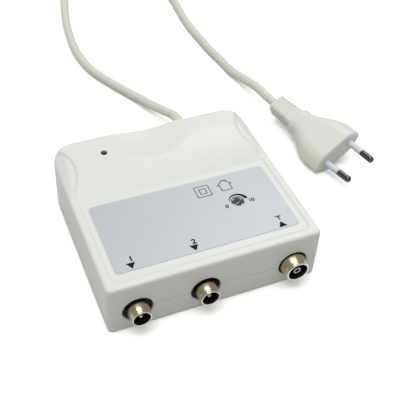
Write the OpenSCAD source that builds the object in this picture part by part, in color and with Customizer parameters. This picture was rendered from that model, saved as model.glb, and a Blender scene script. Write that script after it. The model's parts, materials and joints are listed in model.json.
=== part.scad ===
// Aerial signal amplifier: two-part moulded case with three coaxial connectors,
// a gain spindle, a small mains supply and a lead with a flat two-pin plug.
// Millimetres, +Z up. The origin is under the middle of the case, the front faces -Y.

/* [Case] */
// Width of the case at the parting line
case_w = 109.4; // [100:0.2:130]
// Depth of the case at the parting line
case_d = 99.8; // [94:0.2:120]
// Height of the parting line, which is also the height of the connector axes
parting_h = 12; // [11:0.5:14]
// Height of the border round the label
border_h = 29.6; // [27:0.2:36]
// Height of the flat top at the back
rear_h = 34.6; // [32:0.2:42]
// Thickness of the side walls
wall = 2.2; // [1.8:0.1:2.6]
// Thickness of the roof
roof_t = 2; // [1.6:0.1:2.6]
// Thickness of the floor
floor_t = 2.2; // [1.8:0.1:2.6]
// Draft of the cover's walls, in degrees
draft_deg = 1.1; // [0.5:0.1:1.5]
// Draft of the base's walls, in degrees
base_draft_deg = 0.3; // [0.2:0.1:0.8]
// Radius of the front corners in plan
front_corner_r = 2.8; // [2.6:0.1:6]
// Radius of the back corners in plan
back_corner_r = 10; // [6:0.5:14]
// Rounding of the top edges
edge_r = 1.4; // [0.8:0.1:3]
// Rounding of the bottom edges
foot_r = 1; // [0.6:0.1:2]
// Height of the lip that centres the cover on the base
lip_h = 1.8; // [1:0.2:2.6]
// Thickness of that lip
lip_t = 1; // [0.8:0.1:1.2]

/* [Top of the case] */
// Width of the flat border beside the label recess
border_side = 4.9; // [3.5:0.1:7]
// Width of the flat border in front of the label recess
border_front = 5.2; // [4:0.1:8]
// Length of the label recess, front to back
recess_d = 55.5; // [52:0.5:58]
// Depth of the label recess
recess_depth = 0.8; // [0.5:0.1:1.2]
// Corner radius of the label recess
recess_r = 3; // [1:0.5:5]
// Gap between the label and each side of the recess
label_side_gap = 2.8; // [1:0.1:6]
// Gap between the label and the front of the recess
label_front_gap = 4.4; // [1:0.1:6]
// Length of the label, front to back
label_d = 44.8; // [36:0.2:46]
// Thickness of the label film
label_t = 0.3; // [0.2:0.05:0.4]
// Corner radius of the label
label_r = 4; // [1:0.5:8]
// Distance from the front of the case to the rear pad
pad_setback = 57.6; // [54:0.2:64]
// Step up from the border to the front of the pad
pad_step = 0.8; // [0.5:0.1:2]
// Length of the slope in front of the pad
pad_slope = 4; // [2:0.5:6]
// Depth of the scallop in each side of the pad
scallop_depth = 6.9; // [4:0.1:9]
// Length of the scallop along the case
scallop_len = 39; // [28:0.5:42]
// Distance from the back of the case to the middle of the scallop
scallop_back = 23; // [20:1:28]
// Lean of the scallop's wall from the vertical, in degrees
scallop_lean = 45; // [20:1:50]
// Height of the scallop's wall at the back
scallop_wall = 1.2; // [1:0.1:3]
// Width of the thumb dish at the back of the pad
dish_w = 52; // [36:1:60]
// Depth of the thumb dish
dish_depth = 3; // [1:0.1:3.2]
// Distance from the back of the case to the middle of the dish
dish_back = 9.6; // [6:0.2:14]
// Distance of the dish to the left of the middle
dish_left = 2.5; // [-4:0.5:4]

/* [Connectors] */
// Distance from the left wall to the first outlet
tv1_inset = 14.7; // [13.5:0.1:20]
// Distance between the two outlets
tv_pitch = 34; // [30:0.5:38]
// Distance from the right wall to the aerial inlet
ant_inset = 14.4; // [13.5:0.1:20]
// Diameter of the holes in the front wall
port_hole_d = 15; // [14:0.2:16]
// How far the connectors stand out of the front wall
port_reach = 5.9; // [5:0.1:9]
// Outer diameter of an outlet sleeve
outlet_d = 9.5; // [9.4:0.05:9.6]
// Outer diameter of the inlet sleeve
inlet_d = 12; // [11.4:0.1:12.4]
// Bore of the inlet sleeve
inlet_bore_d = 9.6; // [9.5:0.05:9.8]
// Wall of an outlet sleeve
outlet_wall = 0.65; // [0.5:0.05:0.8]
// Diameter of the centre pins
pin_d = 2.4; // [2.2:0.05:2.5]
// Outer diameter of the inlet's centre contact
contact_d = 3.8; // [3.4:0.1:4.2]
// Length of the straight part of a sleeve, from its front edge
sleeve_len = 6; // [5:0.5:6.5]

/* [Gain trimmer] */
// Distance of the gain spindle to the right of the middle
gain_x = 24.5; // [16:0.5:32]
// Distance of the gain spindle from the front of the case
gain_front = 34.1; // [28:0.1:37]
// Diameter of the gain spindle
gain_d = 6; // [5:0.1:6.6]
// Depth of the spindle's top below the label
gain_sink = 0.6; // [0.2:0.1:1.5]
// Diameter of the spindle's pivot
pivot_d = 4; // [3:0.1:4.4]
// Width of the screwdriver slots
slot_w = 0.9; // [0.6:0.1:1.2]
// Depth of the screwdriver slots
slot_depth = 1.2; // [0.8:0.1:2]

/* [Lamp] */
// Distance of the lamp to the left of the middle
led_left = 28.8; // [20:0.2:31]
// Distance of the lamp from the back of the case
led_back = 13.9; // [11:0.1:15]
// Diameter of the lamp
led_d = 3; // [2.8:0.1:3.4]

/* [Board and shield] */
// Thickness of the circuit board
board_t = 1.6; // [1:0.2:1.8]
// Height of the board's posts above the floor
post_h = 2.2; // [1.8:0.2:2.4]
// Distance from the front of the case to the shield
shield_front = 13.6; // [13:0.1:15]
// Length of the shield, front to back
shield_d = 31; // [29:0.5:32]
// Height of the shield above the board
shield_h = 13.5; // [12.5:0.5:14.5]
// Thickness of the tinplate
tin_t = 0.5; // [0.4:0.05:0.6]

/* [Fasteners] */
// Diameter of the case screws
screw_d = 3; // [2.6:0.1:3.2]
// Diameter of the case screws' heads
screw_head_d = 5.4; // [5:0.1:5.8]
// Length of the case screws under the head
screw_len = 16; // [12:1:18]
// Diameter of the bosses for the case screws
boss_d = 6.6; // [6.2:0.1:7]
// Distance of the front bosses from the middle
front_boss_x = 23; // [22:0.5:24]
// Diameter of the board screws
board_screw_d = 2.2; // [2:0.1:2.4]

/* [Lead and plug] */
// Diameter of the lead
cord_d = 5.6; // [5:0.1:5.8]
// Distance of the gland to the right of the middle
gland_x = 28; // [24:1:32]
// Length of the gland's boot outside the case
boot_len = 20; // [20:0.5:24]
// Turns in the coil, a whole number and a half
coil_turns = 4.5; // [3.5:1:8.5]
// Diameter of the coil at the middle of its turns
coil_mid_d = 62; // [56:1:68]
// Width of the coil's tie
tie_w = 6; // [4:0.5:10]
// Width of the plug at its face
plug_w = 35; // [33:0.5:36]
// Thickness of the plug
plug_t = 13.7; // [12:0.1:14]
// Length of the plug from its face to its shoulder
plug_body_len = 34.5; // [30:0.5:38]
// Length of the ribbed relief behind the shoulder
relief_len = 20; // [20:0.5:30]
// Diameter of the plug's pins
plug_pin_d = 4; // [3.9:0.05:4.1]
// Length of the plug's pins
plug_pin_len = 19; // [18:0.5:20]
// Distance between the pins at the plug's face
plug_pitch = 18.6; // [18:0.1:19]
// Length of the insulating sleeves on the pins
pin_sleeve_len = 10; // [9:0.5:11]

/* [Hidden] */
$fn = 48;

// Clearances: between fixed pieces, round a turning piece, in the trimmer's bearing,
// round the base's lip, and in the inlet's contact
fit_gap = 0.05;
turn_gap = 0.35;
pivot_gap = 0.04;
lip_gap = 0.12;
slide_gap = 0.02;
// Extra length of a cutting tool beyond the face that it cuts
over = 1;

// Planes of the case
front_y = -case_d / 2;
back_y = case_d / 2;
side_x = case_w / 2;
recess_z = border_h - recess_depth;
inner_roof_z = recess_z - roof_t;
pad_y = front_y + pad_setback;
pad_front_h = border_h + pad_step;
pad_crest_y = pad_y + front_corner_r + pad_slope;
pad_spare = 3;
pad_end_y = back_y - back_corner_r + pad_spare;
pad_corner_r = back_corner_r + pad_spare;
pad_inset = 3.6;
pad_rows = 8;
ledge_rise = 1.6;
scallop_r = (pow(scallop_len / 2, 2) + pow(scallop_depth, 2)) / (2 * scallop_depth);

// Label
recess_w = case_w - 2 * border_side;
recess_y = front_y + border_front + recess_d / 2;
label_w = recess_w - 2 * label_side_gap;
label_y = front_y + border_front + label_front_gap + label_d / 2;

// Connectors: places along the front, and sizes along their axes from the shield
tv1_x = -side_x + tv1_inset;
tv2_x = tv1_x + tv_pitch;
ant_x = side_x - ant_inset;
shield_y = front_y + shield_front;
shell_len = shield_front + port_reach;
flange_t = 1.2;
flange_r = 6.6;
seat_z = shell_len - 9;
spigot_r = 3;
spigot_reach = 2.5;
contact_reach = 5;
leg_r = 0.5;

// Gain spindle
gain_y = front_y + gain_front;
gain_hole_r = gain_d / 2 + turn_gap;
label_hole_r = gain_hole_r + fit_gap;
gain_top = recess_z + label_t - gain_sink;
trimmer_w = 9.5;
trimmer_h = 5;
pivot_len = 3.4;

// Lamp
led_x = -led_left;
led_y = back_y - led_back;
led_hole_r = led_d / 2 + 0.15;
led_flange_r = led_d / 2 + 0.4;
led_flange_t = 0.9;
led_pitch = 1.27;
led_proud = 0.3;
room_front_y = pad_crest_y + wall;
room_slope = (rear_h - pad_front_h) / (pad_end_y - room_front_y);
led_seat_z = pad_front_h - roof_t + room_slope * (led_y - led_flange_r - room_front_y);

// Board and shield
board_z = floor_t + post_h;
board_top = board_z + board_t;
board_margin = 2.4;
board_w = case_w - 2 * (wall + board_margin);
board_front = shield_y + 0.1;
board_back = back_y - wall - 4.6;
shield_w = board_w - 2;
shield_top = board_top + shield_h;
post_r = 2.6;
post_x = board_w / 2 - 4.4;
post_setback = 7;
post_pitch = 23;
post_y = [shield_y + shield_d + post_setback, shield_y + shield_d + post_setback + post_pitch];

// Case screws and bosses
boss_r = boss_d / 2;
front_boss_y = front_y + wall + boss_r + 0.6;
rear_boss_x = side_x - 12;
rear_boss_y = back_y - 12;
boss_places = [
    [-front_boss_x, front_boss_y], [front_boss_x, front_boss_y],
    [-rear_boss_x, rear_boss_y], [rear_boss_x, rear_boss_y]
];
boss_split = parting_h - 2;
head_t = 2;
board_head_t = 1.4;
head_seat = 4.2;

// Supply parts: places on the board, measured from the shield and the board's back edge
supply_y = shield_y + shield_d;
transformer_setback = 23;
transformer_at = [2, supply_y + transformer_setback];
core_size = [16, 14, 15];
core_leg = 3;
capacitor_at = [[24, supply_y + 12], [-19, supply_y + 14]];
capacitor_d = 8;
capacitor_h = 11.5;
film_size = [13, 6, 11];
film_at = [13, board_back - film_size.y];
fuse_at = [-8, board_back - 4];
chip_at = [16 - board_w / 2, supply_y + 22];

// Gland and boot
gland_r = 4.2;
gland_flange_r = 6;
gland_flange_t = 1.6;
gland_gap = fit_gap + (gland_flange_r + over) * tan(draft_deg);
boot_end_r = cord_d / 2 + 1;
boot_y = back_y + boot_len;

// Lead: hand-chosen points between the boot, the coil and the plug
lead_route = [
    [27.6, 81, 11], [26.3, 87, 9.1], [24.5, 93, 7.3], [22.5, 99, 5.8],
    [20.5, 104, 4.8], [16.8, 113, 3.8], [12.5, 122, 3.1], [8, 131, 2.8], [3, 141, 2.8],
    [-2, 153, 2.8], [-5, 167, 2.8], [-6, 182, 2.8], [-5, 198, 2.8], [-3, 214, 2.8],
    [0, 230, 2.8], [4, 247, 2.8], [7, 262, 2.8]
];
tail_route = [
    [84, 267, 8.2], [84, 257, 6.4], [83, 246, 4.4], [82, 235, 3.1],
    [82, 223, 2.8], [81, 209, 2.8], [80, 194, 2.8], [80, 179, 2.8], [81, 164, 2.8],
    [82, 150, 2.8], [84, 137, 2.8], [85, 125, 3.1], [87, 114, 4.4], [88.2, 104, 6.6],
    [89.4, 94, 8.8]
];
tube_sides = 10;

// Coil: its layers, and the rise where the tie passes under it
coil_at = [46, 288];
coil_gap = 0.6;
coil_pitch = cord_d + coil_gap;
layer_step = cord_d + coil_gap;
coil_sweep = 360 * coil_turns;
coil_outer_r = coil_mid_d / 2 + coil_pitch * coil_turns / 4;
tie_t = 1;
tie_gap = 0.3;
tie_lift = tie_t + tie_gap;
tie_spread = 70;
coil_sides = 6;
coil_steps = 24;

// Plug: it lies on one lower edge, turned and rolled as the lead lets it
plug_yaw = 14;
plug_roll = 23;
plug_flat = 0.66;
plug_edge = 0.8;
plug_soft = 2.4;
plug_swell = 1.3;
lip_w = 1;
lip_len = 4;
neck_w = 16;
neck_t = 12.9;
plug_z = -min([for (p = body_section(plug_edge)) p.x * sin(plug_roll) + p.z * cos(plug_roll)]);
plug_at = [105.9, 17.9, plug_z];
pin_lean = asin(0.55 / plug_pin_len);
pin_start = 0.1;
pin_root = 6;
core_r = plug_pin_d / 2 - 0.6;
relief_end = plug_body_len + relief_len;
rib_count = 5;
rib_pitch = 2.6;
rib_depth = 0.7;
relief_r = [6.15, 5.6];
tail_end = plug_at + relief_end * [-sin(plug_yaw), cos(plug_yaw), 0];
tail_axis = [sin(plug_yaw), -cos(plug_yaw), 0];

// One corner of a moulded shell: a drafted post with a rounded top edge
module corner_post(r, z0, z1, round, draft = draft_deg) {
    top_r = max(0.1, r - (z1 - z0) * tan(draft));
    e = min(round, top_r - 0.05);
    arc = [for (a = [0 : 22.5 : 90]) [top_r - e + e * cos(a), z1 - e + e * sin(a)]];
    rotate_extrude($fn = 32)
        polygon(concat([[0, z0], [r, z0]], arc, [[0, z1]]));
}

// The plan of the case between two heights, drawn in by an inset
module case_form(inset, z0, z1, round, draft = draft_deg) {
    hull()
        for (s = [-1, 1]) {
            translate([s * (side_x - front_corner_r), front_y + front_corner_r, 0])
                corner_post(front_corner_r - inset, z0, z1, round, draft);
            translate([s * (side_x - back_corner_r), back_y - back_corner_r, 0])
                corner_post(back_corner_r - inset, z0, z1, round, draft);
        }
}

// Height of the pad's crown, an arc that ends level over the back corners
function pad_height(y) =
    let (run = pad_end_y - pad_crest_y,
         rise = rear_h - pad_front_h,
         r = (run * run + rise * rise) / (2 * rise))
    rear_h - r + sqrt(r * r - pow(pad_end_y - y, 2));

// The raised rear of the case: a short slope, a crowned top and a scallop in each side
module rear_pad() {
    post_r = front_corner_r;
    post_x = side_x - post_r - pad_inset;
    rim_r = 2;
    rim = pad_corner_r - rim_r;
    difference() {
        hull()
            for (s = [-1, 1]) {
                translate([s * post_x, pad_y + post_r, 0])
                    corner_post(post_r, parting_h, recess_z + 0.1, edge_r / 2);
                for (k = [0 : pad_rows - 1])
                    let (y = pad_crest_y + k * (pad_end_y - pad_crest_y) / pad_rows)
                    translate([s * post_x, y, 0])
                        corner_post(post_r, parting_h, pad_height(y), edge_r / 2);
                for (a = [0 : 7.5 : 90])
                    let (y = back_y - pad_corner_r + rim * sin(a))
                    translate([s * (side_x - pad_corner_r + rim * cos(a)), y, 0])
                        corner_post(rim_r, parting_h, pad_height(min(y, pad_end_y)), edge_r);
            }
        for (s = [-1, 1])
            translate([s * (side_x + scallop_r - scallop_depth), back_y - scallop_back, 0])
                scallop_cone();
    }
}

// The cutter of one scallop, widening upwards
module scallop_cone() {
    spread = tan(scallop_lean);
    mid_z = border_h + ledge_rise;
    top_z = rear_h + over;
    translate([0, 0, parting_h])
        cylinder(r1 = scallop_r - (mid_z - parting_h) * spread, r2 = scallop_r + (top_z - mid_z) * spread,
                 h = top_z - parting_h, $fn = 120);
}

// The ground of the scallops: it rises from the sides to the pad and round the back corners
module scallop_ledge() {
    r = 1;
    rim = back_corner_r - r - (rear_h - parting_h) * tan(draft_deg);
    ridge_x = side_x - scallop_depth;
    hull()
        for (s = [-1, 1]) {
            translate([s * (side_x - front_corner_r), pad_y + pad_slope, 0])
                corner_post(front_corner_r, parting_h, border_h, edge_r);
            for (k = [0 : pad_rows])
                let (y = pad_crest_y + k * (pad_end_y - pad_crest_y) / pad_rows)
                let (wall_h = pad_step + (scallop_wall - pad_step) * k / pad_rows)
                translate([s * ridge_x, y, parting_h])
                    cylinder(r = r, h = pad_height(y) - wall_h - parting_h, $fn = 24);
            for (a = [0 : 7.5 : 90])
                let (x = side_x - back_corner_r + rim * cos(a), y = back_y - back_corner_r + rim * sin(a))
                let (rim_h = border_h + (rear_h - edge_r - border_h) * pow(sin(a), 1.4))
                translate([s * x, y, parting_h])
                    cylinder(r = r, h = rim_h - parting_h, $fn = 24);
        }
}

// The room under the rear pad, inside the scallops, clear of the screw bosses and the dish
module pad_room() {
    half = rear_boss_x - boss_r - wall;
    flat_z = rear_h - roof_t;
    difference() {
        hull()
            for (s = [-1, 1]) {
                translate([s * half, room_front_y, parting_h])
                    cylinder(r = 1, h = pad_front_h - roof_t - parting_h, $fn = 24);
                translate([s * half, pad_end_y, parting_h])
                    cylinder(r = 1, h = flat_z - parting_h, $fn = 24);
                translate([s * half, back_y - wall - edge_r - 1, parting_h])
                    cylinder(r = 1, h = flat_z - parting_h, $fn = 24);
            }
        translate([-dish_left, back_y - dish_back, flat_z - dish_depth])
            cylinder(d = 0.77 * dish_w, h = roof_t + dish_depth);
    }
}

// The label's recess, with walls that slope at 45 degrees
module recess_cut() {
    hull()
        for (x = [-1, 1], y = [-1, 1])
            translate([x * (recess_w / 2 - recess_r), recess_y + y * (recess_d / 2 - recess_r), recess_z])
                cylinder(r1 = recess_r, r2 = recess_r + 2 * recess_depth, h = 2 * recess_depth);
}

// A shallow round dish with a soft rim, sunk in the top of the pad
module thumb_dish() {
    soft = [for (k = [0 : 12]) [dish_w / 2 * k / 12, -dish_depth * pow(cos(90 * k / 12), 2)]];
    translate([-dish_left, back_y - dish_back, rear_h])
        rotate_extrude($fn = 96)
            polygon(concat(soft, [[dish_w / 2, over], [0, over]]));
}

// The three connector holes and the gland hole, centred on the parting line
module wall_holes() {
    for (x = [tv1_x, tv2_x, ant_x])
        translate([x, front_y + wall + over, parting_h])
            rotate([90, 0, 0])
                cylinder(d = port_hole_d, h = wall + 2 * over);
    translate([gland_x, back_y + over, parting_h])
        rotate([90, 0, 0])
            cylinder(r = gland_r + fit_gap, h = wall + 2 * over);
}

module boss_columns(r, z0, z1) {
    for (p = boss_places)
        translate([p.x, p.y, z0])
            cylinder(r = r, h = z1 - z0);
}

module cover_shell() {
    difference() {
        union() {
            difference() {
                case_form(0, parting_h, border_h, edge_r);
                recess_cut();
            }
            scallop_ledge();
            rear_pad();
        }
        case_form(wall, parting_h - over, inner_roof_z, 1);
        case_form(wall - lip_t, parting_h - over, parting_h + lip_h + lip_gap, lip_gap);
        pad_room();
    }
}

module top_cover() {
    color("whitesmoke")
        difference() {
            union() {
                cover_shell();
                boss_columns(boss_r, boss_split, inner_roof_z + roof_t / 2);
            }
            thumb_dish();
            wall_holes();
            boss_columns(screw_d / 2 + fit_gap, boss_split - over, head_seat + screw_len + over);
            translate([gain_x, gain_y, inner_roof_z - over])
                cylinder(r = gain_hole_r, h = roof_t + 2 * over);
            translate([led_x, led_y, led_seat_z - over])
                cylinder(r = led_hole_r, h = rear_h - led_seat_z + 2 * over);
        }
}

// Everything of the base but its bores
module tray_form() {
    difference() {
        union() {
            translate([0, 0, parting_h])
                mirror([0, 0, 1])
                    case_form(0, 0, parting_h, foot_r, base_draft_deg);
            case_form(wall - lip_t + lip_gap, parting_h - over, parting_h + lip_h, lip_gap, 0);
        }
        case_form(wall, floor_t, parting_h + lip_h + over, lip_gap, 0);
    }
}

module base_tray() {
    color("gainsboro")
        difference() {
            union() {
                tray_form();
                boss_columns(boss_r, floor_t - fit_gap, boss_split);
                for (s = [-1, 1], y = post_y)
                    translate([s * post_x, y, floor_t - fit_gap])
                        cylinder(r = post_r, h = post_h + fit_gap);
            }
            wall_holes();
            boss_columns(screw_d / 2 + 0.2, -over, boss_split + over);
            boss_columns(screw_head_d / 2 + 0.2, -over, head_seat);
            for (s = [-1, 1], y = post_y)
                translate([s * post_x, y, floor_t / 2])
                    cylinder(d = board_screw_d + 2 * fit_gap, h = board_z);
        }
}

// A plate with round corners
module round_plate(w, d, r, h) {
    for (x = [-1, 1], y = [-1, 1])
        translate([x * (w / 2 - r), y * (d / 2 - r), 0])
            cylinder(r = r, h = h);
    translate([-w / 2 + r, -d / 2, 0])
        cube([w - 2 * r, d, h]);
    translate([-w / 2, -d / 2 + r, 0])
        cube([w, d - 2 * r, h]);
}

module label_plate() {
    color("lightsteelblue")
        difference() {
            translate([0, label_y, recess_z])
                round_plate(label_w, label_d, label_r, label_t);
            translate([gain_x, gain_y, recess_z - over])
                cylinder(r = label_hole_r, h = label_t + 2 * over);
        }
}

// A pan head with a cross recess on a plain shank, head down
module screw(d, head_d, head_h, len) {
    difference() {
        union() {
            translate([0, 0, -head_h])
                cylinder(d = head_d, h = head_h);
            cylinder(d = d, h = len);
        }
        for (a = [0, 90])
            rotate([0, 0, a])
                translate([-head_d / 4, -d / 8, -head_h - over])
                    cube([head_d / 2, d / 4, head_h / 2 + over]);
    }
}

module case_screws() {
    color("silver")
        for (p = boss_places)
            translate([p.x, p.y, head_seat])
                screw(screw_d, screw_head_d, head_t, screw_len);
}

module circuit_board() {
    notch = boss_r + 0.8;
    color("seagreen")
        difference() {
            translate([-board_w / 2, board_front, board_z])
                cube([board_w, board_back - board_front, board_t]);
            for (s = [-1, 1])
                translate([s * (rear_boss_x - notch) - (s < 0 ? board_w : 0), rear_boss_y - notch, 0])
                    cube([board_w, case_d, board_top + over]);
            for (s = [-1, 1], y = post_y)
                translate([s * post_x, y, board_z - over])
                    cylinder(d = board_screw_d + 0.4, h = board_t + 2 * over);
        }
}

module board_screws() {
    color("silver")
        for (s = [-1, 1], y = post_y)
            translate([s * post_x, y, board_top])
                mirror([0, 0, 1])
                    screw(board_screw_d, 2 * board_screw_d, board_head_t, board_t + post_h);
}

module shield_frame() {
    color("lightgrey")
        difference() {
            translate([-shield_w / 2, shield_y, board_top])
                cube([shield_w, shield_d, shield_h]);
            translate([-shield_w / 2 + tin_t, shield_y + tin_t, board_top - over])
                cube([shield_w - 2 * tin_t, shield_d - 2 * tin_t, shield_h + 2 * over]);
            for (x = [tv1_x, tv2_x, ant_x])
                translate([x, shield_y + tin_t + over, parting_h])
                    rotate([90, 0, 0])
                        cylinder(r = spigot_r + fit_gap, h = tin_t + 2 * over);
        }
}

// A flat lid with its edges folded down outside the frame
module shield_lid() {
    fold = tin_t + fit_gap;
    fold_h = 3;
    color("lightgrey")
        difference() {
            translate([-shield_w / 2, shield_y, shield_top])
                translate([-fold, 0, -fold_h])
                    cube([shield_w + 2 * fold, shield_d + fold, fold_h + tin_t]);
            translate([-shield_w / 2 - fit_gap, shield_y - over, shield_top - fold_h - over])
                cube([shield_w + 2 * fit_gap, shield_d + fit_gap + over, fold_h + over]);
            translate([gain_x, gain_y, shield_top - over])
                cylinder(r = gain_hole_r, h = tin_t + 2 * over);
        }
}

// Puts a piece on a connector's axis, its z running forwards from the shield
module on_port(x) {
    translate([x, shield_y, parting_h])
        rotate([90, 0, 0])
            children();
}

// Turned shell: flange, base, taper, straight sleeve with a groove, and a rounded lip
module coax_shell(sleeve_r, bore_r, base_r) {
    lip = 0.3;
    lip_len = 0.9;
    groove = 0.4;
    taper_z = shell_len - sleeve_len;
    groove_z = shell_len - lip_len - 2 * groove;
    rotate_extrude($fn = 72)
        polygon([
            [spigot_r, 0], [flange_r, 0], [flange_r, flange_t], [base_r, flange_t],
            [base_r, taper_z - 1.2], [sleeve_r, taper_z], [sleeve_r, groove_z],
            [sleeve_r - groove, groove_z + groove], [sleeve_r - groove, groove_z + 1.5 * groove],
            [sleeve_r, groove_z + 2 * groove], [sleeve_r, shell_len - lip],
            [sleeve_r - lip, shell_len], [bore_r + lip, shell_len], [bore_r, shell_len - 2 * lip],
            [bore_r, seat_z], [spigot_r, seat_z]
        ]);
}

// Insulating plug with a spigot through the shield and a hole for the contact
module coax_insulator(bore_r) {
    front_t = 1.2;
    difference() {
        union() {
            translate([0, 0, seat_z])
                cylinder(r = bore_r - fit_gap, h = front_t);
            translate([0, 0, -spigot_reach])
                cylinder(r = spigot_r - fit_gap, h = spigot_reach + seat_z);
        }
        translate([0, 0, -spigot_reach - over])
            cylinder(d = pin_d + 2 * fit_gap, h = spigot_reach + shell_len);
    }
}

// The contact's tail behind the shield, with a leg down to the board
module contact_leg() {
    translate([0, 0, -contact_reach])
        cylinder(d = pin_d, h = contact_reach);
    translate([0, 0, -contact_reach + leg_r + 0.3])
        rotate([90, 0, 0])
            cylinder(r = leg_r, h = parting_h - board_top);
}

module coax_pin() {
    tip_z = shell_len - 1.4 - pin_d / 2;
    contact_leg();
    cylinder(d = pin_d, h = tip_z);
    translate([0, 0, tip_z])
        sphere(d = pin_d);
}

module coax_socket() {
    mouth_z = shell_len - 1.2;
    tube_z = seat_z + 1.2;
    contact_leg();
    difference() {
        union() {
            cylinder(d = pin_d, h = tube_z + over);
            translate([0, 0, tube_z])
                cylinder(d = contact_d, h = mouth_z - tube_z);
        }
        translate([0, 0, tube_z + over / 2])
            cylinder(d = pin_d + 2 * slide_gap, h = shell_len);
    }
}

module outlet_shell(x) {
    color("silver")
        on_port(x)
            coax_shell(outlet_d / 2, outlet_d / 2 - outlet_wall, outlet_d / 2 + 0.5);
}

module outlet_insulator(x) {
    color("black")
        on_port(x)
            coax_insulator(outlet_d / 2 - outlet_wall);
}

module outlet_pin(x) {
    color("silver")
        on_port(x)
            coax_pin();
}

module ant_shell() {
    color("silver")
        on_port(ant_x)
            coax_shell(inlet_d / 2, inlet_bore_d / 2, inlet_d / 2 + 0.2);
}

module ant_insulator() {
    color("black")
        on_port(ant_x)
            coax_insulator(inlet_bore_d / 2);
}

module ant_contact() {
    color("silver")
        on_port(ant_x)
            coax_socket();
}

// Fixed half of the trimmer: a block on the board with a bearing for the spindle
module trimmer_body() {
    color("royalblue")
        difference() {
            translate([gain_x - trimmer_w / 2, gain_y - trimmer_w / 2, board_top])
                cube([trimmer_w, trimmer_w, trimmer_h]);
            translate([gain_x, gain_y, board_top + trimmer_h - pivot_len - 0.3])
                cylinder(d = pivot_d + 2 * pivot_gap, h = pivot_len + over);
        }
}

module gain_rotor() {
    shoulder_z = board_top + trimmer_h + turn_gap;
    slot_len = 0.76 * gain_d;
    color("dimgray")
        translate([gain_x, gain_y, 0])
            difference() {
                union() {
                    translate([0, 0, board_top + trimmer_h - pivot_len])
                        cylinder(d = pivot_d, h = pivot_len + turn_gap + over);
                    translate([0, 0, shoulder_z])
                        cylinder(d = gain_d, h = gain_top - shoulder_z);
                }
                for (a = [35, 125])
                    rotate([0, 0, a])
                        translate([-slot_len / 2, -slot_w / 2, gain_top - slot_depth])
                            cube([slot_len, slot_w, slot_depth + over]);
            }
}

module splitter_core() {
    size = [6.6, 4, 3.6];
    color("darkslategray")
        translate([tv2_x - 14, shield_y + shield_d / 2, board_top])
            difference() {
                translate([-size.x / 2, -size.y / 2, 0])
                    cube(size);
                for (s = [-1, 1])
                    translate([s * size.x / 4, size.y, size.z / 2])
                        rotate([90, 0, 0])
                            cylinder(d = 1.4, h = 2 * size.y);
            }
}

module led_lamp() {
    body_h = pad_height(led_y) + led_proud - led_seat_z - led_d / 2;
    leg_w = 0.5;
    color("darkgreen")
        translate([led_x, led_y, led_seat_z]) {
            translate([0, 0, -led_flange_t])
                cylinder(r = led_flange_r, h = led_flange_t);
            cylinder(d = led_d, h = body_h);
            translate([0, 0, body_h])
                sphere(d = led_d);
            for (s = [-1, 1])
                translate([s * led_pitch - leg_w / 2, -leg_w / 2, board_top - led_seat_z])
                    cube([leg_w, leg_w, led_seat_z - board_top - led_flange_t / 2]);
        }
}

module led_spacer() {
    color("ivory")
        difference() {
            translate([led_x, led_y, board_top])
                cylinder(r = led_flange_r + 0.4, h = led_seat_z - led_flange_t - board_top);
            for (s = [-1, 1])
                translate([led_x + s * led_pitch, led_y, board_top - over])
                    cylinder(r = 0.45, h = rear_h);
        }
}

// Two ferrite halves as one closed core round the winding
module transformer_core() {
    color("darkslategray")
        translate([transformer_at.x, transformer_at.y, board_top])
            difference() {
                translate([-core_size.x / 2, -core_leg, 1])
                    cube([core_size.x, 2 * core_leg, core_size.z]);
                translate([-core_size.x / 2 + core_leg, -core_leg - over, 1 + core_leg])
                    cube([core_size.x - 2 * core_leg, 2 * core_leg + 2 * over, core_size.z - 2 * core_leg]);
            }
}

module transformer_winding() {
    window = [core_size.x - 2 * core_leg - 2 * fit_gap, core_size.z - 2 * core_leg - 2 * fit_gap];
    color("goldenrod")
        translate([transformer_at.x, transformer_at.y, board_top]) {
            translate([-window.x / 2, -core_size.y / 2, 1 + core_leg + fit_gap])
                cube([window.x, core_size.y, window.y]);
            for (x = [-1, 1], y = [-1, 1])
                translate([x * (window.x / 2 - 1), y * (core_size.y / 2 - 1), 0])
                    cylinder(d = 1, h = 1 + core_leg + window.y / 2);
        }
}

module supply_capacitors() {
    color("midnightblue")
        for (p = capacitor_at)
            translate([p.x, p.y, board_top])
                cylinder(d = capacitor_d, h = capacitor_h);
}

module film_capacitor() {
    color("gold")
        translate([film_at.x - film_size.x / 2, film_at.y - film_size.y / 2, board_top])
            cube(film_size);
}

// A barrel resistor on two bent legs
module fuse_resistor() {
    barrel_z = 3;
    reach = 6;
    color("tan")
        translate([fuse_at.x, fuse_at.y, board_top]) {
            translate([-4.5, 0, barrel_z])
                rotate([0, 90, 0])
                    cylinder(d = 3.6, h = 9);
            translate([-reach, 0, barrel_z])
                rotate([0, 90, 0])
                    cylinder(d = 0.7, h = 2 * reach);
            for (s = [-1, 1])
                translate([s * reach, 0, 0])
                    cylinder(d = 0.7, h = barrel_z + 0.3);
        }
}

// An eight-leg chip
module control_chip() {
    color("black")
        translate([chip_at.x, chip_at.y, board_top]) {
            translate([-3.2, -4.8, 0.6])
                cube([6.4, 9.6, 3.2]);
            for (s = [-1, 1], k = [-1.5 : 1.5])
                translate([s * 3.6 - 0.4, k * 2.54 - 0.4, 0])
                    cube([0.8, 0.8, 2]);
        }
}

// Two insulated cores from the gland's inner face down to the board
module supply_wires() {
    wire_d = 1.9;
    start_y = back_y - wall - gland_flange_t - gland_gap;
    drop_y = board_back - 2;
    color("sienna")
        for (s = [-1, 1])
            translate([gland_x + s * 1.4, 0, 0]) {
                translate([0, start_y, parting_h])
                    rotate([90, 0, 0])
                        cylinder(d = wire_d, h = start_y - drop_y);
                translate([0, drop_y, parting_h])
                    sphere(d = wire_d);
                translate([0, drop_y, board_top])
                    cylinder(d = wire_d, h = parting_h - board_top);
            }
}

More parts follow.
